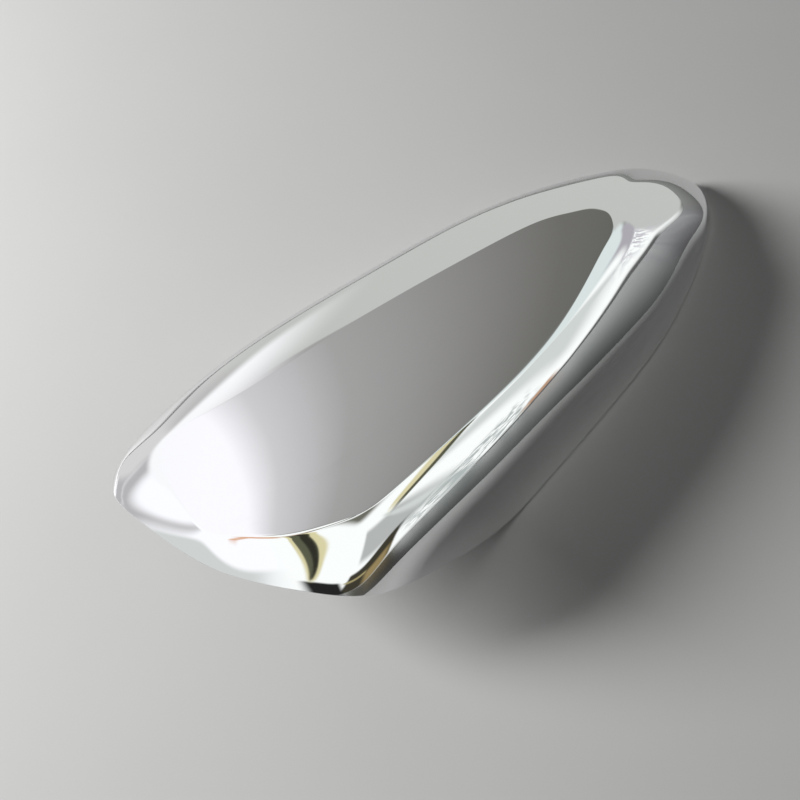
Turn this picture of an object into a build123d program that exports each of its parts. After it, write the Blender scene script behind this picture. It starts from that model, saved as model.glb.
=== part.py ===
"""Chrome-plated wing mirror cover: one thin moulded shell, open underneath.

The shell lies on its rim, with +X towards the narrow outer tip and +Z out of the visible face.
Towards the wide end the rim lifts off the table, where the arm of the mirror comes in.
"""
import os
from math import acos, atan2, cos, hypot, radians, sin, tan

from build123d import *

# Driving dimensions, in millimetres and degrees
length = 266.0  # outline from the wide end to the tip, before the rim lifts
width = 107.0  # outline across the shell
wide_end_height = 48.3  # shoulder above the table at the wide end
tip_height = 32.2  # shoulder above the table at the tip
crown = 1.6  # rise of the face above its shoulder
wall = 2.2  # moulded wall
shoulder_radius = 7.0  # turn from wall to face on the creased side
rim_slope = 85.0  # slope of the wall where it leaves the rim
back_slope = 73.0  # slope of the straight wall under the rolled back edge
edge_radius = 6.5  # turn from the back wall to the face
edge_slope = 27.0  # slope of the face where it meets the rolled back edge
edge_bend = 61.0  # bend of the face towards the rolled back edge
face_slope = 9.0  # slope of the face where it leaves the shoulder
lift_start = -20.8  # where the rim leaves the table
lift_radius = 60.0  # bend of the rim where it leaves the table
lift_angle = 25.0  # slope of the lifted rim

# Stations round the outline, as shares of the half length and half width: the rim's point,
# the face's point, the slope of the wall just under the shoulder, and how far the wall takes the
# form of the rolled back edge, from 0 to 1.
station_shares = (
    ((0.114, -0.983), (0.104, -0.622), 33, 0.0),
    ((0.406, -0.947), (0.334, -0.491), 54, 0.1),
    ((0.641, -0.845), (0.439, -0.419), 57, 0.15),
    ((0.822, -0.704), (0.495, -0.368), 52, 0.22),
    ((0.954, -0.524), (0.535, -0.277), 38, 0.38),
    ((1.0, -0.282), (0.535, -0.219), 15, 0.43),
    ((0.905, -0.064), (0.521, -0.156), 10, 0.79),
    ((0.764, 0.167), (0.475, -0.088), 10, 0.97),
    ((0.557, 0.446), (0.392, 0.016), 10, 1.0),
    ((0.31, 0.675), (0.221, 0.126), 10, 1.0),
    ((-0.012, 0.846), (-0.052, 0.267), 10, 1.0),
    ((-0.382, 0.999), (-0.389, 0.409), 10, 1.0),
    ((-0.686, 0.959), (-0.662, 0.54), 11, 1.0),
    ((-0.946, 0.79), (-0.796, 0.474), 14, 1.0),
    ((-1.0, 0.555), (-0.84, 0.179), 17, 0.9),
    ((-0.985, -0.343), (-0.839, -0.115), 26, 0.36),
    ((-0.888, -0.658), (-0.782, -0.283), 31, 0.12),
    ((-0.787, -0.853), (-0.714, -0.429), 29, 0.0),
    ((-0.718, -0.947), (-0.636, -0.539), 20, 0.0),
    ((-0.508, -0.991), (-0.534, -0.614), 14, 0.0),
    ((-0.255, -0.999), (-0.246, -0.652), 17, 0.0),
)
spine = ((-0.606, 0.042), (0.105, -0.177))  # line under the highest part of the face

# Sections of the dome: up the wall, closer together towards the shoulder, then over the face
wall_sections = 22
face_sections = 5
flat_top = 0.15  # flat middle of the face, as a share of the way from spine to shoulder
trim = 0.08  # share of the height that the wall runs on below the table, to be cut at the rim

mid_height = (wide_end_height + tip_height) / 2
height_slope = (tip_height - wide_end_height) / length


def to_size(share):
    """A point given in shares of the half length and half width, in millimetres."""
    return Vector(share[0] * length / 2, share[1] * width / 2)


def wall_profile(level, height, top_slope, edge_share):
    """Run of the wall up to a level, its whole run and the slope there.

    From the rim, a straight foot, the rolled edge, a long bend and the shoulder follow one another.
    """
    rim = radians(rim_slope + edge_share * (back_slope - rim_slope))
    edge = rim + edge_share * (radians(edge_slope) - rim)
    top, face = radians(top_slope), radians(face_slope)
    edge_rise = edge_radius * (cos(edge) - cos(rim))
    shoulder_rise = shoulder_radius * (cos(face) - cos(top))
    arc_height = height - edge_rise - shoulder_rise
    foot = edge_share * (arc_height - edge_bend * (cos(top) - cos(edge)))
    bend = (arc_height - foot) / (cos(top) - cos(edge))
    arcs = ((edge_radius, rim, edge), (bend, edge, top), (shoulder_radius, top, face))
    whole_run = foot / tan(rim) + sum(radius * (sin(low) - sin(high)) for radius, low, high in arcs)
    climb = level * height
    if climb <= foot:
        return climb / tan(rim), whole_run, rim
    start, run = foot, foot / tan(rim)
    for radius, low, high in arcs:
        angle = acos(min(cos(low) + (climb - start) / radius, 1))
        if angle >= high - 1e-9:
            return run + radius * (sin(low) - sin(angle)), whole_run, angle
        start += radius * (cos(high) - cos(low))
        run += radius * (sin(low) - sin(high))


def wall_outline(level, depth):
    """Outline of the wall at a level of its height, a depth inside the outer skin."""
    points = []
    for rim_share, face_share, top_slope, edge_share in station_shares:
        rim_point, face_point = to_size(rim_share), to_size(face_share)
        way = face_point - rim_point
        height = mid_height + height_slope * face_point.X
        run, whole_run, angle = wall_profile(level, height, top_slope, edge_share)
        slope = atan2(sin(angle) * whole_run, cos(angle) * way.length)
        inward = way.length * run / whole_run + depth * tan(slope / 2)
        points.append(rim_point + way.normalized() * inward)
    return points


def face_outline(level):
    """Outline of the face at a share of the way from its shoulder to its spine."""
    start, end = to_size(spine[0]), to_size(spine[1])
    along = end - start
    points = []
    for _, face_share, _, _ in station_shares:
        face_point = to_size(face_share)
        share = (face_point - start).dot(along) / along.length**2
        foot = start + along * min(max(share, 0), 1)
        points.append(face_point + (foot - face_point) * level)
    return points


def station_parameters():
    """Spline parameters that every section shares, spaced by the square root of the rim's steps."""
    rim = [to_size(rim_share) for rim_share, _, _, _ in station_shares]
    steps = [(here - before).length ** 0.5 for before, here in zip(rim, rim[1:] + rim[:1])]
    return [sum(steps[:count]) for count in range(len(steps) + 1)]


def section_plane(level, offset):
    """Plane through a level of the shoulder's slanting height, moved up or down."""
    slant = level * height_slope
    return Plane(origin=(0, 0, level * mid_height + offset), x_dir=(1, 0, slant), z_dir=(-slant, 0, 1))


def on_slant(point, level):
    """A point of the plan in the coordinates of its slanting section plane."""
    return point.X * hypot(1, level * height_slope), point.Y


def dome_sections(depth):
    """Section planes and outlines of the dome from below its rim to its top, a depth inside."""
    sections = []
    wall_levels = [-trim] + [sin(radians(90 * count / wall_sections)) for count in range(wall_sections + 1)]
    for level in wall_levels:
        outline = [on_slant(point, level) for point in wall_outline(level, depth)]
        sections.append((section_plane(level, -depth), outline))
    for count in range(1, face_sections + 1):
        share = count / face_sections
        rise = crown * (1 - (1 - share) ** 2)
        outline = [on_slant(point, 1) for point in face_outline(share * (1 - flat_top))]
        sections.append((section_plane(1, rise - depth), outline))
    return sections


with BuildPart() as mirror_cover:
    # Solid dome, then the hollow one wall inside it
    for depth, mode in ((0, Mode.ADD), (wall, Mode.SUBTRACT)):
        for plane, outline in dome_sections(depth):
            with BuildSketch(plane):
                with BuildLine():
                    add(Edge.make_spline(outline, periodic=True, parameters=station_parameters()))
                make_face()
        loft(ruled=True, mode=mode)
    # Rim: flat on the table from the tip, then lifting towards the wide end
    with BuildSketch(Plane.XZ):
        with BuildLine():
            flat = Line((length, 0), (lift_start, 0))
            bend = JernArc(flat @ 1, (-1, 0), lift_radius, -lift_angle)
            lifted = PolarLine(bend @ 1, length, direction=bend % 1)
            Polyline(lifted @ 1, (-2 * length, -length), (length, -length), flat @ 0)
        make_face()
    extrude(amount=width, both=True, mode=Mode.SUBTRACT)

box = mirror_cover.part.bounding_box()
mirror_cover.part.position = (-box.center().X, -box.center().Y, 0)
mirror_cover.part.label = "mirror_cover"
os.makedirs("parts", exist_ok=True)
export_step(mirror_cover.part, "parts/mirror_cover.step")
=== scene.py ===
"""Wing mirror cover: a chrome-plated moulded shell, dressed and lit in a plain studio."""
from math import cos, radians, sin
from typing import NamedTuple

import bmesh
import bpy
import numpy as np
from bpy.props import FloatProperty, FloatVectorProperty, IntProperty, PointerProperty
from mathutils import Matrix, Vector


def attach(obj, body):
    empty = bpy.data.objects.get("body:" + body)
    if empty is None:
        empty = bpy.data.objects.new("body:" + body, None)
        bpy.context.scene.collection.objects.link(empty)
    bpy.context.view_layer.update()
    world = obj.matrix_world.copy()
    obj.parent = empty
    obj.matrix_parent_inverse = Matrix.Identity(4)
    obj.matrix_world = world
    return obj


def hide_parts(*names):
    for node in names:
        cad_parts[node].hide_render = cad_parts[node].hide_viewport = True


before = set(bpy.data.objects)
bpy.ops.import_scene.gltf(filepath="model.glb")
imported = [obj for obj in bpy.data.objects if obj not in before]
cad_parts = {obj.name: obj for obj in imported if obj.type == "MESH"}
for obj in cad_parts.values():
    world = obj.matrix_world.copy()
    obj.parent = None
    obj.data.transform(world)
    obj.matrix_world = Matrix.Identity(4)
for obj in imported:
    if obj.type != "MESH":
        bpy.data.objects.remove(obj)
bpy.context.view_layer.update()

bl_info = {
    "name": "Wing mirror cover",
    "version": (1, 0, 0),
    "blender": (4, 5, 0),
    "location": "View3D > Sidebar > Mirror Cover",
    "description": "Models a chrome-plated wing mirror cover and the studio that shows it",
    "category": "Object",
}

# Stations round the outline, as shares of the half length and half width: the rim's point,
# the face's point, the slope of the wall just under the shoulder in degrees, and how far the wall
# takes the form of the rolled back edge, from 0 to 1.
STATIONS = (
    ((0.114, -0.983), (0.104, -0.622), 33, 0.0),
    ((0.406, -0.947), (0.334, -0.491), 54, 0.1),
    ((0.641, -0.845), (0.439, -0.419), 57, 0.15),
    ((0.822, -0.704), (0.495, -0.368), 52, 0.22),
    ((0.954, -0.524), (0.535, -0.277), 38, 0.38),
    ((1.0, -0.282), (0.535, -0.219), 15, 0.43),
    ((0.905, -0.064), (0.521, -0.156), 10, 0.79),
    ((0.764, 0.167), (0.475, -0.088), 10, 0.97),
    ((0.557, 0.446), (0.392, 0.016), 10, 1.0),
    ((0.31, 0.675), (0.221, 0.126), 10, 1.0),
    ((-0.012, 0.846), (-0.052, 0.267), 10, 1.0),
    ((-0.382, 0.999), (-0.389, 0.409), 10, 1.0),
    ((-0.686, 0.959), (-0.662, 0.54), 11, 1.0),
    ((-0.946, 0.79), (-0.796, 0.474), 14, 1.0),
    ((-1.0, 0.555), (-0.84, 0.179), 17, 0.9),
    ((-0.985, -0.343), (-0.839, -0.115), 26, 0.36),
    ((-0.888, -0.658), (-0.782, -0.283), 31, 0.12),
    ((-0.787, -0.853), (-0.714, -0.429), 29, 0.0),
    ((-0.718, -0.947), (-0.636, -0.539), 20, 0.0),
    ((-0.508, -0.991), (-0.534, -0.614), 14, 0.0),
    ((-0.255, -0.999), (-0.246, -0.652), 17, 0.0),
)
SPINE = ((-0.606, 0.042), (0.105, -0.177))  # line under the highest part of the face, in the same shares

# Rings of the mesh. A face's share runs from its shoulder to its spine, a wall's from its rim to its shoulder.
CAP_START = 0.375  # first corner of the grid over the face, as a share of the way round
CAP_ROWS = 14
CAP_SHARE = 0.55  # where the grid meets the rings
FACE_SHARES = (0.42, 0.30, 0.19, 0.10, 0.04)
INNER_FACE_SHARES = (0.1, 0.28)
WALL_RINGS = 44
INNER_WALL_RINGS = 22
RIM_TURN = 0.018  # wall's share of the ring that keeps the rim's edge crisp
RIM_PARTS = (0.28, 0.72)  # rings across the rim, as shares of the wall's thickness


class CoverShape(bpy.types.PropertyGroup):
    """Sizes of the moulded shell."""

    length: FloatProperty(
        name="Length", description="Outline from the wide end to the tip", default=0.266, unit="LENGTH"
    )
    width: FloatProperty(name="Width", description="Outline across the shell", default=0.107, unit="LENGTH")
    wide_end_height: FloatProperty(
        name="Wide end height", description="Shoulder above the table at the wide end", default=0.0483, unit="LENGTH"
    )
    tip_height: FloatProperty(
        name="Tip height", description="Shoulder above the table at the tip", default=0.0322, unit="LENGTH"
    )
    crown: FloatProperty(name="Crown", description="Rise of the face over its plane", default=0.0016, unit="LENGTH")
    long_bend: FloatProperty(
        name="Bend along", description="Radius of the face along the cover", default=2.4, unit="LENGTH"
    )
    cross_bend: FloatProperty(
        name="Bend across", description="Radius of the face across the cover", default=0.4, unit="LENGTH"
    )
    wall: FloatProperty(name="Wall", description="Thickness of the moulded wall", default=0.0022, unit="LENGTH")
    shoulder_radius: FloatProperty(
        name="Shoulder radius", description="Turn from wall to face at the crease", default=0.007, unit="LENGTH"
    )
    rim_slope: FloatProperty(
        name="Rim slope", description="Slope of the wall at the rim", default=radians(85), subtype="ANGLE"
    )
    back_slope: FloatProperty(
        name="Back slope", description="Slope of the wall under the rolled edge", default=radians(73), subtype="ANGLE"
    )
    edge_radius: FloatProperty(
        name="Edge radius", description="Turn from the back wall to the face", default=0.0065, unit="LENGTH"
    )
    edge_slope: FloatProperty(
        name="Edge slope", description="Slope of the face at the rolled edge", default=radians(27), subtype="ANGLE"
    )
    edge_bend: FloatProperty(
        name="Edge bend", description="Bend of the face towards the rolled edge", default=0.061, unit="LENGTH"
    )
    face_slope: FloatProperty(
        name="Face slope", description="Slope of the face at its shoulder", default=radians(9), subtype="ANGLE"
    )
    lift_start: FloatProperty(
        name="Lift start", description="Where the rim leaves the table", default=-0.0208, unit="LENGTH"
    )
    lift_radius: FloatProperty(
        name="Lift radius", description="Bend of the rim where it leaves the table", default=0.06, unit="LENGTH"
    )
    lift_angle: FloatProperty(
        name="Lift angle", description="Slope of the lifted rim", default=radians(25), subtype="ANGLE"
    )
    columns: IntProperty(name="Columns", description="Mesh columns round the outline", default=160)
    smoothing: IntProperty(name="Smoothing", description="Subdivision levels of the shell", default=1)


class CoverFinish(bpy.types.PropertyGroup):
    """Colours and gloss of the plating."""

    plating: FloatVectorProperty(
        name="Plating", description="Colour of the bright plating", default=(0.86, 0.865, 0.87), size=3, subtype="COLOR"
    )
    haze: FloatVectorProperty(
        name="Haze", description="Colour of the faint haze on it", default=(0.80, 0.81, 0.82), size=3, subtype="COLOR"
    )
    inner_plating: FloatVectorProperty(
        name="Inner plating",
        description="Colour of the dull inside",
        default=(0.33, 0.335, 0.34),
        size=3,
        subtype="COLOR",
    )
    inner_film: FloatVectorProperty(
        name="Inner film", description="Colour of the film inside", default=(0.45, 0.45, 0.46), size=3, subtype="COLOR"
    )
    gloss: FloatProperty(name="Gloss", description="Roughness of the polished outside", default=0.025)
    inner_gloss: FloatProperty(name="Inner gloss", description="Roughness of the dull inside", default=0.42)
    ripple: FloatProperty(
        name="Ripple",
        description="Depth of the moulded skin's slow waves",
        default=0.000012,
        unit="LENGTH",
        precision=6,
    )


class StudioSetup(bpy.types.PropertyGroup):
    """Floor, table, lamp and camera."""

    floor: FloatVectorProperty(
        name="Floor", description="Colour of the pale floor", default=(0.66, 0.66, 0.65), size=3, subtype="COLOR"
    )
    floor_size: FloatProperty(name="Floor size", description="Side of the floor", default=2.0, unit="LENGTH")
    floor_edge: FloatProperty(
        name="Floor edge",
        description="Middle of the cover to the floor's edge on its creased side",
        default=0.121,
        unit="LENGTH",
    )
    floor_turn: FloatProperty(
        name="Floor turn", description="Direction in which that edge lies", default=radians(-59.5), subtype="ANGLE"
    )
    floor_drop: FloatProperty(
        name="Floor drop", description="Floor below the cover's rim", default=0.0001, unit="LENGTH", precision=5
    )
    floor_gloss: FloatProperty(name="Floor gloss", description="Roughness of the floor", default=0.6)
    floor_shine: FloatProperty(name="Floor shine", description="Specular level of the floor", default=0.25)
    table: FloatVectorProperty(
        name="Table",
        description="Colour of the table under the floor",
        default=(0.014, 0.014, 0.014),
        size=3,
        subtype="COLOR",
    )
    table_size: FloatProperty(name="Table size", description="Side of the table", default=8.0, unit="LENGTH")
    table_drop: FloatProperty(
        name="Table drop", description="Table below the cover's rim", default=0.001, unit="LENGTH", precision=4
    )
    table_gloss: FloatProperty(name="Table gloss", description="Roughness of the table", default=0.22)
    table_shine: FloatProperty(name="Table shine", description="Specular level of the table", default=0.04)
    key_height: FloatProperty(name="Key height", description="Key lamp above the table", default=0.43, unit="LENGTH")
    key_reach: FloatProperty(name="Key reach", description="Key lamp to the cover's left", default=0.94, unit="LENGTH")
    key_size: FloatProperty(name="Key size", description="Width of the key lamp", default=0.36, unit="LENGTH")
    key_power: FloatProperty(name="Key power", description="Power of the soft key lamp", default=16.5, unit="POWER")
    fill: FloatProperty(name="Fill", description="Share of the surround that lights the floor", default=0.06)
    lens: FloatProperty(name="Lens", description="Focal length in millimetres", default=60.0)
    distance: FloatProperty(name="Distance", description="Camera to cover", default=0.45, unit="LENGTH")
    azimuth: FloatProperty(
        name="Azimuth", description="Camera's turn round the cover", default=radians(-50), subtype="ANGLE"
    )
    elevation: FloatProperty(
        name="Elevation", description="Camera's height angle", default=radians(55), subtype="ANGLE"
    )
    target: FloatVectorProperty(
        name="Target",
        description="Point that the camera looks at",
        default=(-0.02645, 0.0004, 0.015),
        size=3,
        subtype="XYZ",
        unit="LENGTH",
    )
    shift: FloatProperty(name="Shift", description="Camera's shift across and up", default=-0.0125, precision=4)


class Skin:
    """The shell's two skins as rings of points, each ring one closed line round the cover."""

    def __init__(self, shape):
        self.shape = shape
        half = np.array([shape.length / 2, shape.width / 2])
        stations = np.array([(*rim, *face, slope, edge) for rim, face, slope, edge in STATIONS])
        stations[:, :4] *= np.tile(half, 2)
        lines = fair_lines(stations, shape.columns, stiffness=3e-4)
        self.rim, self.face = lines[:, :2], lines[:, 2:4]
        self.top = np.radians(np.maximum(lines[:, 4], np.degrees(shape.face_slope) + 0.3))
        self.edge = np.clip(lines[:, 5], 0, 1)
        start, end = np.array(SPINE) * half
        along = end - start
        share = np.clip((self.face - start) @ along / (along @ along), 0, 1)
        self.foot = start + share[:, None] * along
        self.centre = (start + end) / 2
        self.turn = along[1] / along[0]
        self.shift = self.place()

    def plane(self, x):
        """Height of the sloping plane through the shoulder."""
        shape = self.shape
        middle = (shape.wide_end_height + shape.tip_height) / 2
        return middle + (shape.tip_height - shape.wide_end_height) / shape.length * x

    def face_height(self, x, y):
        """Height of the face, which bends slightly along and across the plane."""
        along = x - self.centre[0]
        across = y - self.centre[1] - self.turn * along
        bend = along**2 / (2 * self.shape.long_bend) + across**2 / (2 * self.shape.cross_bend)
        return self.plane(x) + self.shape.crown - bend

    def lift(self, x):
        """Height of the rim above the table."""
        shape = self.shape
        reach = shape.lift_radius * sin(shape.lift_angle)
        back = np.maximum(shape.lift_start - x, 0)
        bend = shape.lift_radius - np.sqrt(shape.lift_radius**2 - np.minimum(back, reach) ** 2)
        return bend + np.maximum(back - reach, 0) * np.tan(shape.lift_angle)

    def wall_points(self, level, depth):
        """Points of the wall at a level of its height for each column, a depth inside the outer skin.

        From the rim, a straight foot, the rolled edge, a long bend and the shoulder follow one another.
        """
        shape = self.shape
        way = self.face - self.rim
        span = np.linalg.norm(way, axis=1)
        height = self.plane(self.face[:, 0])
        rim = shape.rim_slope + self.edge * (shape.back_slope - shape.rim_slope)
        edge = rim + self.edge * (shape.edge_slope - rim)
        top = np.minimum(self.top, edge - 0.01)
        arc_height = height - shape.edge_radius * (np.cos(edge) - np.cos(rim))
        arc_height -= shape.shoulder_radius * (cos(shape.face_slope) - np.cos(top))
        foot = self.edge * (arc_height - shape.edge_bend * (np.cos(top) - np.cos(edge)))
        bend = (arc_height - foot) / (np.cos(top) - np.cos(edge))
        climb = level * height
        angle, run = rim, climb / np.tan(rim)
        start, whole = foot, foot / np.tan(rim)
        for radius, low, high in (
            (shape.edge_radius, rim, edge), (bend, edge, top), (shape.shoulder_radius, top, shape.face_slope)
        ):
            here = np.arccos(np.clip(np.cos(low) + (climb - start) / radius, -1, 1))
            angle = np.where(climb > start, here, angle)
            run = np.where(climb > start, whole + radius * (np.sin(low) - np.sin(here)), run)
            start = start + radius * (np.cos(high) - np.cos(low))
            whole = whole + radius * (np.sin(low) - np.sin(high))
        slope = np.arctan2(np.sin(angle) * whole, np.cos(angle) * span)
        plan = self.rim + way * (run / whole + depth * np.tan(slope / 2) / span)[:, None]
        crown = self.face_height(*self.face.T) - height
        return np.column_stack([plan, level * self.plane(plan[:, 0]) + level**2 * crown - depth])

    def rim_level(self, depth):
        """Level at which each column of the wall meets the rim."""
        low, high = np.full(len(self.rim), -0.1), np.ones(len(self.rim))
        for _ in range(40):
            middle = (low + high) / 2
            points = self.wall_points(middle, depth)
            under = points[:, 2] < self.lift(points[:, 0])
            low, high = np.where(under, middle, low), np.where(under, high, middle)
        return high

    def wall_ring(self, share, depth):
        """Ring at a share of the way from the rim to the shoulder."""
        level = self.rim_level(depth)
        return self.wall_points(level + (1 - level) * share, depth) + self.shift

    def face_ring(self, share, depth):
        """Ring at a share of the way from the shoulder to the spine."""
        plan = self.face + (self.foot - self.face) * share
        return np.column_stack([plan, self.face_height(*plan.T) - depth]) + self.shift

    def place(self):
        """Move that centres the shell on the table's origin, as the solid is."""
        self.shift = np.zeros(3)
        rings = np.concatenate([self.wall_ring(share, 0) for share in np.linspace(0, 0.3, 7)])
        middle = (rings.min(axis=0) + rings.max(axis=0)) / 2
        return np.array([-middle[0], -middle[1], 0])

    def cap(self, ring, rows, depth):
        """Grid of points that closes a ring over the spine, its long sides along the cover."""
        corners = cap_corners(len(ring), rows)
        sides = [np.roll(ring, -first, axis=0)[: last - first + 1] for first, last in zip(corners, corners[1:])]
        low, right, high, left = sides[0], sides[1], sides[2][::-1], sides[3][::-1]
        u = np.linspace(0, 1, len(low))[None, :, None]
        v = np.linspace(0, 1, len(right))[:, None, None]
        flat = (
            (1 - v) * low[None] + v * high[None] + (1 - u) * left[:, None] + u * right[:, None]
            - (1 - u) * (1 - v) * low[0] - u * (1 - v) * low[-1] - (1 - u) * v * high[0] - u * v * high[-1]
        )
        plan = flat - self.shift
        flat[..., 2] = self.face_height(plan[..., 0], plan[..., 1]) - depth
        return flat


def fair_lines(stations, count, stiffness):
    """Closed lines of count points that pass near the stations with the evenest bend."""
    steps = np.linalg.norm(np.roll(stations[:, :2], -1, axis=0) - stations[:, :2], axis=1) ** 0.5
    places = np.concatenate([[0], np.cumsum(steps)])
    places = places[:-1] / places[-1] * count
    before = np.floor(places).astype(int)
    share = places - before
    rows = np.arange(len(stations))
    near = np.zeros((len(stations), count))
    near[rows, before] = 1 - share
    near[rows, (before + 1) % count] = share
    third_difference = ((-1, -1), (0, 3), (1, -3), (2, 1))  # offsets along the line and their factors
    jerk = sum(factor * np.roll(np.eye(count), offset, axis=1) for offset, factor in third_difference)
    weight = stiffness * (count / len(stations)) ** 5
    return np.linalg.solve(near.T @ near + weight * jerk.T @ jerk, near.T @ stations)


def cap_corners(count, rows):
    """Column numbers of the cap's corners and of its first corner again, round a ring."""
    first = int(count * CAP_START)
    long_side = count // 2 - rows
    return [first, first + long_side, first + count // 2, first + count // 2 + long_side, first + count]


def ring_shares(count):
    """Wall's shares of its rings from the rim up, closer together towards the shoulder."""
    return [sin(radians(90 * step / count)) for step in range(1, count + 1)]


class Value:
    """A node socket that takes part in Python expressions."""

    def __init__(self, tree, socket):
        self.tree = tree
        self.socket = socket

    def node(self, kind, settings=None, **sockets):
        """A new node of the same tree, with its settings made first and its sockets set or linked."""
        made = self.tree.nodes.new(kind)
        for name, setting in (settings or {}).items():
            if name == "stops":
                fill_ramp(made.color_ramp, setting)
            else:
                setattr(made, name, setting)
        for name, value in sockets.items():
            place = made.inputs[int(name[1:])] if name[0] == "_" else made.inputs[name.replace("_", " ")]
            if isinstance(value, Value):
                self.tree.links.new(value.socket, place)
            else:
                place.default_value = value
        return made

    def out(self, kind, output=0, settings=None, **sockets):
        """One output of a new node, as a value."""
        return Value(self.tree, self.node(kind, settings, **sockets).outputs[output])

    def math(self, operation, first, second=0.0, third=0.0):
        """One step of arithmetic."""
        return self.out("ShaderNodeMath", settings={"operation": operation}, _0=first, _1=second, _2=third)

    def __add__(self, other):
        return self.math("ADD", self, other)

    def __sub__(self, other):
        return self.math("SUBTRACT", self, other)

    def __mul__(self, other):
        return self.math("MULTIPLY", self, other)

    def __rsub__(self, other):
        return self.math("SUBTRACT", other, self)

    __radd__ = __add__
    __rmul__ = __mul__

    def smooth(self, low, high):
        """0 below low and 1 above high, with an eased step between."""
        eased = {"interpolation_type": "SMOOTHSTEP"}
        return self.out("ShaderNodeMapRange", settings=eased, _0=self, _1=low, _2=high, _3=0.0, _4=1.0)

    def blend(self, factor, first, second):
        """A colour between two others."""
        return self.out("ShaderNodeMix", 2, {"data_type": "RGBA"}, _0=factor, _6=first, _7=second)

    def mix(self, other, factor):
        """This colour turned to another by a factor."""
        return self.blend(factor, self, other)


def fill_ramp(ramp, stops):
    """Put the stops, each a place and a colour, on a colour ramp."""
    while len(ramp.elements) < len(stops):
        ramp.elements.new(1.0)
    for element, (place, tint) in zip(ramp.elements, stops):
        element.position = place
        element.color = (*tint, 1.0)


def new_piece(context, name):
    """The object just added by a primitive, named."""
    piece = context.active_object
    piece.name = name
    piece.data.name = name
    return piece


def deselect_all():
    """Leave nothing selected, so that the next operator acts on the new piece alone."""
    if bpy.context.mode != "OBJECT":
        bpy.ops.object.mode_set(mode="OBJECT")
    bpy.ops.object.select_all(action="DESELECT")


def plated_finish(finish):
    """Bright chrome plating outside, dull plating inside the shell."""
    material = bpy.data.materials.new("chrome_plate")
    material.use_nodes = True
    tree = material.node_tree
    shader = tree.nodes["Principled BSDF"]
    start = Value(tree, None)
    place = start.out("ShaderNodeTexCoord", "Object")
    inside = start.out("ShaderNodeAttribute", "Fac", {"attribute_name": "inner_skin"}).smooth(0.4, 0.6)
    cloud = start.out("ShaderNodeTexNoise", "Fac", Vector=place, Scale=38.0, Detail=2.0)
    film = start.out("ShaderNodeTexNoise", "Fac", Vector=place, Scale=150.0, Detail=5.0, Roughness=0.62)
    grain = start.out("ShaderNodeTexNoise", "Fac", Vector=place, Scale=2600.0, Detail=2.0)
    haze = film.smooth(0.52, 0.75) * cloud.smooth(0.4, 0.7)
    bright = start.blend(haze * 0.25, (*finish.plating, 1.0), (*finish.haze, 1.0))
    dull = start.blend(film, (*finish.inner_plating, 1.0), (*finish.inner_film, 1.0))
    rough_out = finish.gloss + haze * 0.03 + cloud * 0.01
    rough_in = finish.inner_gloss + film * 0.12
    links = tree.links
    links.new(bright.mix(dull, inside).socket, shader.inputs["Base Color"])
    links.new((rough_out * (1 - inside) + rough_in * inside).socket, shader.inputs["Roughness"])
    shader.inputs["Metallic"].default_value = 1.0
    skin = cloud * (1 - inside) + grain * inside * 2.0
    bump = start.node("ShaderNodeBump", Strength=1.0, Distance=finish.ripple, Height=skin)
    links.new(bump.outputs["Normal"], shader.inputs["Normal"])
    return material


def sheet_finish(name, colour, roughness, specular):
    """Plain sheet of one colour with a faint mottle."""
    material = bpy.data.materials.new(name)
    material.use_nodes = True
    tree = material.node_tree
    shader = tree.nodes["Principled BSDF"]
    start = Value(tree, None)
    place = start.out("ShaderNodeTexCoord", "Object")
    mottle = start.out("ShaderNodeTexNoise", "Fac", Vector=place, Scale=9.0, Detail=3.0)
    deeper = [0.98 * channel for channel in colour]
    shade = start.blend(mottle.smooth(0.3, 0.7), (*colour, 1.0), (*deeper, 1.0))
    tree.links.new(shade.socket, shader.inputs["Base Color"])
    shader.inputs["Roughness"].default_value = roughness
    shader.inputs["Specular IOR Level"].default_value = specular
    return material


class Panel(NamedTuple):
    """One soft-edged panel of the surround, placed by direction, with all angles in degrees.

    A panel may lean and grow with the level, its low and high edges may tilt with the azimuth, and a
    mottle breaks it into flakes.
    """

    name: str
    azimuth: float
    half: float
    low: float
    high: float
    tint: tuple
    side_soft: float = 2.0
    level_soft: float = 2.0
    lean: float = 0.0
    grow: float = 0.0
    tilt: float = 0.0
    mottle: float = 0.0


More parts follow.
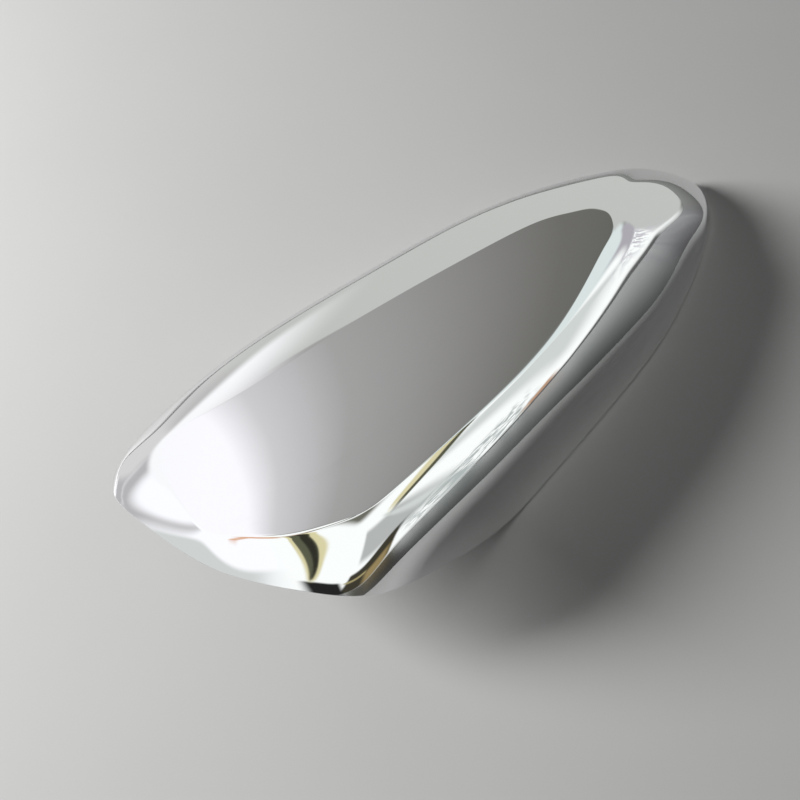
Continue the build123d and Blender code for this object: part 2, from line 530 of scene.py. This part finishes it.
# The surround's panels in the order they are laid, each over the ones before it
PANELS = (
    Panel("camera_side", 165, 72, -5, 95, (1.14, 1.14, 1.17), side_soft=10),
    Panel("left_cloud", 118, 36, 6, 37, (0.54, 0.535, 0.55), side_soft=9, level_soft=4, tilt=-0.2),
    Panel("left_haze", 114, 24, 27, 30, (0.70, 0.69, 0.71), side_soft=8, level_soft=1.5, tilt=-0.1),
    Panel("end_window", 187, 36, -5, 18, (0.715, 0.745, 0.73), side_soft=8, level_soft=2.5),
    Panel("side_window", -74, 62, 0, 95, (1.12, 1.15, 1.13), side_soft=5),
    Panel("pale_blind", -40, 8, 6, 40, (0.72, 0.76, 0.74), side_soft=4, level_soft=4, lean=-0.15, grow=0.15),
    Panel("tip_glow", -8, 24, 28, 62, (0.80, 0.88, 0.87), side_soft=3, level_soft=4),
    Panel("tip_curtain", -14, 17, 8, 32, (0.48, 0.465, 0.50), side_soft=3, level_soft=2, lean=0.28, grow=-0.28),
    Panel(
        "back_wall", 23, 47, -5, 33, (0.60, 0.615, 0.585),
        side_soft=3, level_soft=0.6, lean=0.25, grow=-0.65, tilt=-0.16,
    ),
    Panel("back_window", 84, 18, -12, 30, (0.76, 0.755, 0.755), side_soft=7, level_soft=6),
    Panel("back_light", 82.5, 25, 30, 80, (1.10, 1.10, 1.12), side_soft=5, level_soft=4, tilt=0.9),
    Panel(
        "grey_door", -84.5, 20.5, 13, 35, (0.52, 0.54, 0.53),
        side_soft=2, level_soft=3, lean=0.37, grow=-0.37, tilt=-0.2,
    ),
    Panel("dark_shelf", -100.5, 20, 0, 12, (0.055, 0.05, 0.035), side_soft=1.2, level_soft=1, lean=0.9, tilt=0.05),
    Panel("gold_shelf", -93, 11, 0, 6, (0.34, 0.26, 0.12), side_soft=4, level_soft=1.5, lean=0.9),
    Panel("gold_line", -107, 9, 5.8, 7.2, (0.42, 0.36, 0.18), side_soft=2, level_soft=0.5),
    Panel("side_seam", -64.5, 1.2, 0, 36, (0.72, 0.76, 0.74), side_soft=1, level_soft=4, lean=-0.1),
    Panel("leaf_shade", -62, 8, 1, 13, (0.50, 0.55, 0.54), side_soft=3, level_soft=2, mottle=45),
    Panel("tip_shade", -23, 11, 3, 12, (0.62, 0.61, 0.66), side_soft=4, level_soft=2, mottle=38),
    Panel("corner_stand", -125, 7, -2, 9, (0.02, 0.02, 0.02), side_soft=1.5, level_soft=1, tilt=-0.15),
    Panel("gold_frame", -129.6, 1.0, 10, 72, (0.80, 0.74, 0.44), side_soft=0.8, level_soft=2, lean=0.42, grow=0.20),
    Panel("olive_flag", -129.5, 0.3, 11, 72, (0.12, 0.125, 0.08), side_soft=0.5, level_soft=2, lean=0.42, grow=0.14),
    Panel("flag_fold", -129.3, 0.2, 11, 72, (0.035, 0.035, 0.025), side_soft=0.8, level_soft=2, lean=0.48, grow=0.06),
    Panel("dark_lamp", -69, 18, 53, 65, (0.17, 0.17, 0.14), side_soft=7, level_soft=4),
    Panel("gold_rail", -46, 19, 45.6, 49.6, (0.80, 0.74, 0.46), side_soft=4, level_soft=0.8, tilt=0.62),
    Panel("dark_rail", -46, 19, 43.6, 46.2, (0.10, 0.10, 0.06), side_soft=4, level_soft=0.6, tilt=0.62),
    Panel("orange_frame", -150, 1.8, 38, 78, (0.86, 0.52, 0.36), side_soft=1, level_soft=5, lean=0.14),
    Panel("orange_rail", -136, 15, 66, 78, (0.82, 0.47, 0.30), side_soft=4, level_soft=1.5),
    Panel("brown_rail", -98, 30, 72.5, 76, (0.55, 0.38, 0.28), side_soft=6, level_soft=1),
    Panel("dark_ceiling_rail", -58, 34, 71, 74, (0.14, 0.14, 0.11), side_soft=5, level_soft=1),
    Panel("orange_skirting", -53, 3, 0.4, 3, (0.55, 0.34, 0.22), side_soft=1.5, level_soft=0.8),
    Panel("dark_skirting", -42, 22, -0.9, 0.8, (0.12, 0.12, 0.12), side_soft=3, level_soft=0.4),
)
# Glow of the far side along its slant, from the dim corner to the bright window
BACK_GLOW = (
    (0.0, (0.135, 0.135, 0.12)), (0.13, (0.175, 0.172, 0.16)), (0.38, (0.35, 0.345, 0.34)), (0.50, (0.42, 0.415, 0.41)),
    (0.57, (0.57, 0.56, 0.57)), (0.645, (0.70, 0.69, 0.71)), (0.675, (0.89, 0.88, 0.91)), (0.71, (1.13, 1.12, 1.16)),
)
GLOW_START, GLOW_SPAN = 10.0, 60.0  # azimuths that the glow runs over, in degrees
GLOW_LEVEL, GLOW_SLANT = 50.0, 0.7  # level at which these azimuths hold, and the glow's turn per degree of level
FLAKES = (0.46, 0.56)  # noise values between which a mottle's flakes fade in


def light_surround(setup):
    """Studio surround by direction: pale walls, windows, frames and a dim far corner."""
    world = bpy.context.scene.world or bpy.data.worlds.new("studio")
    bpy.context.scene.world = world
    world.use_nodes = True
    tree = world.node_tree
    tree.nodes.clear()
    start = Value(tree, None)
    toward = start.out("ShaderNodeTexCoord", "Generated")
    x, y, z = (Value(tree, output) for output in start.node("ShaderNodeSeparateXYZ", Vector=toward).outputs)
    azimuth = start.math("ARCTAN2", y, x) * np.degrees(1.0)
    level = start.math("ARCSINE", z) * np.degrees(1.0)
    glow = azimuth + (level - GLOW_LEVEL) * GLOW_SLANT
    colour = start.out("ShaderNodeValToRGB", settings={"stops": BACK_GLOW}, Fac=(glow - GLOW_START) * (1 / GLOW_SPAN))
    for panel in PANELS:
        height = level - panel.low
        off = start.math("WRAP", azimuth - panel.azimuth - height * panel.lean, 180.0, -180.0)
        inside = height * panel.grow + panel.half - start.math("ABSOLUTE", off)
        climb = off * panel.tilt
        cover = inside.smooth(-panel.side_soft, panel.side_soft)
        cover = cover * (height - climb).smooth(-panel.level_soft, panel.level_soft)
        cover = cover * (climb + panel.high - level).smooth(-panel.level_soft, panel.level_soft)
        if panel.mottle:
            flakes = start.out("ShaderNodeTexNoise", "Fac", Vector=toward, Scale=panel.mottle, Detail=3.0)
            cover = cover * flakes.smooth(*FLAKES)
        colour = colour.mix((*panel.tint, 1.0), cover)
    diffuse = start.out("ShaderNodeLightPath", "Is Diffuse Ray")
    background = start.node("ShaderNodeBackground", Color=colour, Strength=1 - diffuse * (1 - setup.fill))
    out = start.node("ShaderNodeOutputWorld")
    tree.links.new(background.outputs[0], out.inputs[0])


class MIRRORCOVER_OT_shell(bpy.types.Operator):
    """Model the plated shell: a grid for the face, then ring after ring over the wall, the rim and the inside"""

    bl_idname = "mirror_cover.shell"
    bl_label = "Mirror cover shell"

    def execute(self, context):
        shape = context.scene.cover_shape
        skin = Skin(shape)
        outer = [(skin.face_ring(share, 0), 0) for share in (CAP_SHARE, *FACE_SHARES)]
        outer += [(skin.wall_ring(share, 0), 0) for share in (*reversed(ring_shares(WALL_RINGS)), RIM_TURN, 0.0)]
        rim = [(skin.wall_ring(0, shape.wall * part), part) for part in RIM_PARTS]
        inner = [(skin.wall_ring(share, shape.wall), 1) for share in (0.0, RIM_TURN, *ring_shares(INNER_WALL_RINGS))]
        inner += [(skin.face_ring(share, shape.wall), 1) for share in (*INNER_FACE_SHARES, CAP_SHARE)]
        deselect_all()
        columns = shape.columns // 2 - CAP_ROWS
        bpy.ops.mesh.primitive_grid_add(x_subdivisions=columns, y_subdivisions=CAP_ROWS, size=shape.width)
        piece = new_piece(context, "mirror_cover_shell")
        bpy.ops.object.mode_set(mode="EDIT")
        mesh = bmesh.from_edit_mesh(piece.data)
        mesh.verts.layers.float.new("inner_skin")
        self.lay_cap(mesh, skin.cap(outer[0][0], CAP_ROWS, 0))
        self.run_rings(piece, outer + rim + inner)
        self.close_inside(piece, skin.cap(inner[-1][0], CAP_ROWS, shape.wall))
        bpy.ops.mesh.select_all(action="SELECT")
        bpy.ops.mesh.remove_doubles(threshold=1e-6)
        bpy.ops.mesh.normals_make_consistent(inside=False)
        bpy.ops.object.mode_set(mode="OBJECT")
        smoothing = piece.modifiers.new("smoothing", "SUBSURF")
        smoothing.levels = smoothing.render_levels = shape.smoothing
        bpy.ops.object.modifier_apply(modifier=smoothing.name)
        bpy.ops.object.shade_smooth()
        piece.data.materials.append(plated_finish(context.scene.cover_finish))
        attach(piece, "root")
        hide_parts("mirror_cover")
        return {"FINISHED"}

    def lay_cap(self, mesh, points):
        """Place the grid's points row by row over the middle of the face."""
        mesh.verts.ensure_lookup_table()
        for vert, point in zip(mesh.verts, points.reshape(-1, 3)):
            vert.co = point

    def run_rings(self, piece, rings):
        """Extrude the grid's border from ring to ring."""
        mesh = bmesh.from_edit_mesh(piece.data)
        bpy.ops.mesh.select_all(action="DESELECT")
        for edge in mesh.edges:
            edge.select_set(edge.is_boundary)
        mesh.select_flush(True)
        bmesh.update_edit_mesh(piece.data)
        first = rings[0][0]
        order = {}
        for vert in mesh.verts:
            if vert.select:
                order[vert.co.to_tuple()] = int(np.argmin(np.linalg.norm(first - np.array(vert.co), axis=1)))
        for points, inside in rings[1:]:
            bpy.ops.mesh.extrude_edges_indiv()
            mesh = bmesh.from_edit_mesh(piece.data)
            layer = mesh.verts.layers.float["inner_skin"]
            moved = {}
            for vert in mesh.verts:
                if vert.select:
                    column = order[vert.co.to_tuple()]
                    vert.co = points[column]
                    vert[layer] = inside
                    moved[vert.co.to_tuple()] = column
            order = moved
            bmesh.update_edit_mesh(piece.data)

    def close_inside(self, piece, points):
        """Fill the last ring with a second grid, laid under the first."""
        bpy.ops.mesh.select_all(action="DESELECT")
        bpy.ops.mesh.primitive_grid_add(
            x_subdivisions=points.shape[1] - 1, y_subdivisions=points.shape[0] - 1, size=1.0
        )
        mesh = bmesh.from_edit_mesh(piece.data)
        layer = mesh.verts.layers.float["inner_skin"]
        added = [vert for vert in mesh.verts if vert.select]
        for vert, point in zip(added, points.reshape(-1, 3)):
            vert.co = point
            vert[layer] = 1.0
        bmesh.update_edit_mesh(piece.data)


class MIRRORCOVER_OT_stage(bpy.types.Operator):
    """Set up the pale floor, the table under it, the surround, the soft light and the camera"""

    bl_idname = "mirror_cover.stage"
    bl_label = "Mirror cover stage"

    def execute(self, context):
        setup = context.scene.studio_setup
        deselect_all()
        away = Vector((sin(setup.azimuth), -cos(setup.azimuth), 0.0))
        across = Vector((cos(setup.azimuth), sin(setup.azimuth), 0.0))
        edge_way = Vector((cos(setup.floor_turn), sin(setup.floor_turn)))
        middle = edge_way * (setup.floor_edge - setup.floor_size / 2)
        bpy.ops.mesh.primitive_plane_add(
            size=setup.floor_size, location=(middle.x, middle.y, -setup.floor_drop), rotation=(0, 0, setup.floor_turn)
        )
        floor = new_piece(context, "floor")
        floor.data.materials.append(sheet_finish("pale_sheet", setup.floor, setup.floor_gloss, setup.floor_shine))
        bpy.ops.mesh.primitive_plane_add(size=setup.table_size, location=(0.0, 0.0, -setup.table_drop))
        table = new_piece(context, "table")
        table.data.materials.append(sheet_finish("dark_table", setup.table, setup.table_gloss, setup.table_shine))
        light_surround(setup)
        key_place = Vector((0.0, 0.0, setup.key_height)) - across * setup.key_reach
        bpy.ops.object.light_add(type="AREA", location=key_place)
        key = context.active_object
        key.name = "key_lamp"
        key.data.shape = "DISK"
        key.data.size = setup.key_size
        key.data.energy = setup.key_power
        key.visible_glossy = False
        aim(key, Vector((0.0, 0.0, 0.0)))
        bpy.ops.object.camera_add()
        camera = context.active_object
        camera.name = "photo_camera"
        target = Vector(setup.target)
        back = away * cos(setup.elevation) + Vector((0, 0, sin(setup.elevation)))
        camera.location = target + back * setup.distance
        aim(camera, target)
        camera.data.lens = setup.lens
        camera.data.shift_x = camera.data.shift_y = setup.shift
        context.scene.camera = camera
        context.scene.view_settings.view_transform = "Standard"
        return {"FINISHED"}


def aim(thing, target):
    """Turn a lamp or camera to look at a point."""
    thing.rotation_euler = (thing.location - target).to_track_quat("Z", "Y").to_euler()


class VIEW3D_PT_mirror_cover(bpy.types.Panel):
    """Sizes, finish and stage of the mirror cover"""

    bl_label = "Mirror Cover"
    bl_space_type = "VIEW_3D"
    bl_region_type = "UI"
    bl_category = "Mirror Cover"

    def draw(self, context):
        scene = context.scene
        for group in (scene.cover_shape, scene.cover_finish, scene.studio_setup):
            box = self.layout.box()
            for name in group.__annotations__:
                box.prop(group, name)
        self.layout.operator(MIRRORCOVER_OT_shell.bl_idname)
        self.layout.operator(MIRRORCOVER_OT_stage.bl_idname)


CLASSES = (
    CoverShape, CoverFinish, StudioSetup, MIRRORCOVER_OT_shell, MIRRORCOVER_OT_stage, VIEW3D_PT_mirror_cover,
)


def register():
    for each in CLASSES:
        bpy.utils.register_class(each)
    bpy.types.Scene.cover_shape = PointerProperty(type=CoverShape)
    bpy.types.Scene.cover_finish = PointerProperty(type=CoverFinish)
    bpy.types.Scene.studio_setup = PointerProperty(type=StudioSetup)


def unregister():
    del bpy.types.Scene.cover_shape
    del bpy.types.Scene.cover_finish
    del bpy.types.Scene.studio_setup
    for each in reversed(CLASSES):
        bpy.utils.unregister_class(each)


def main():
    register()
    bpy.ops.mirror_cover.shell()
    bpy.ops.mirror_cover.stage()


if __name__ == "__main__":
    main()
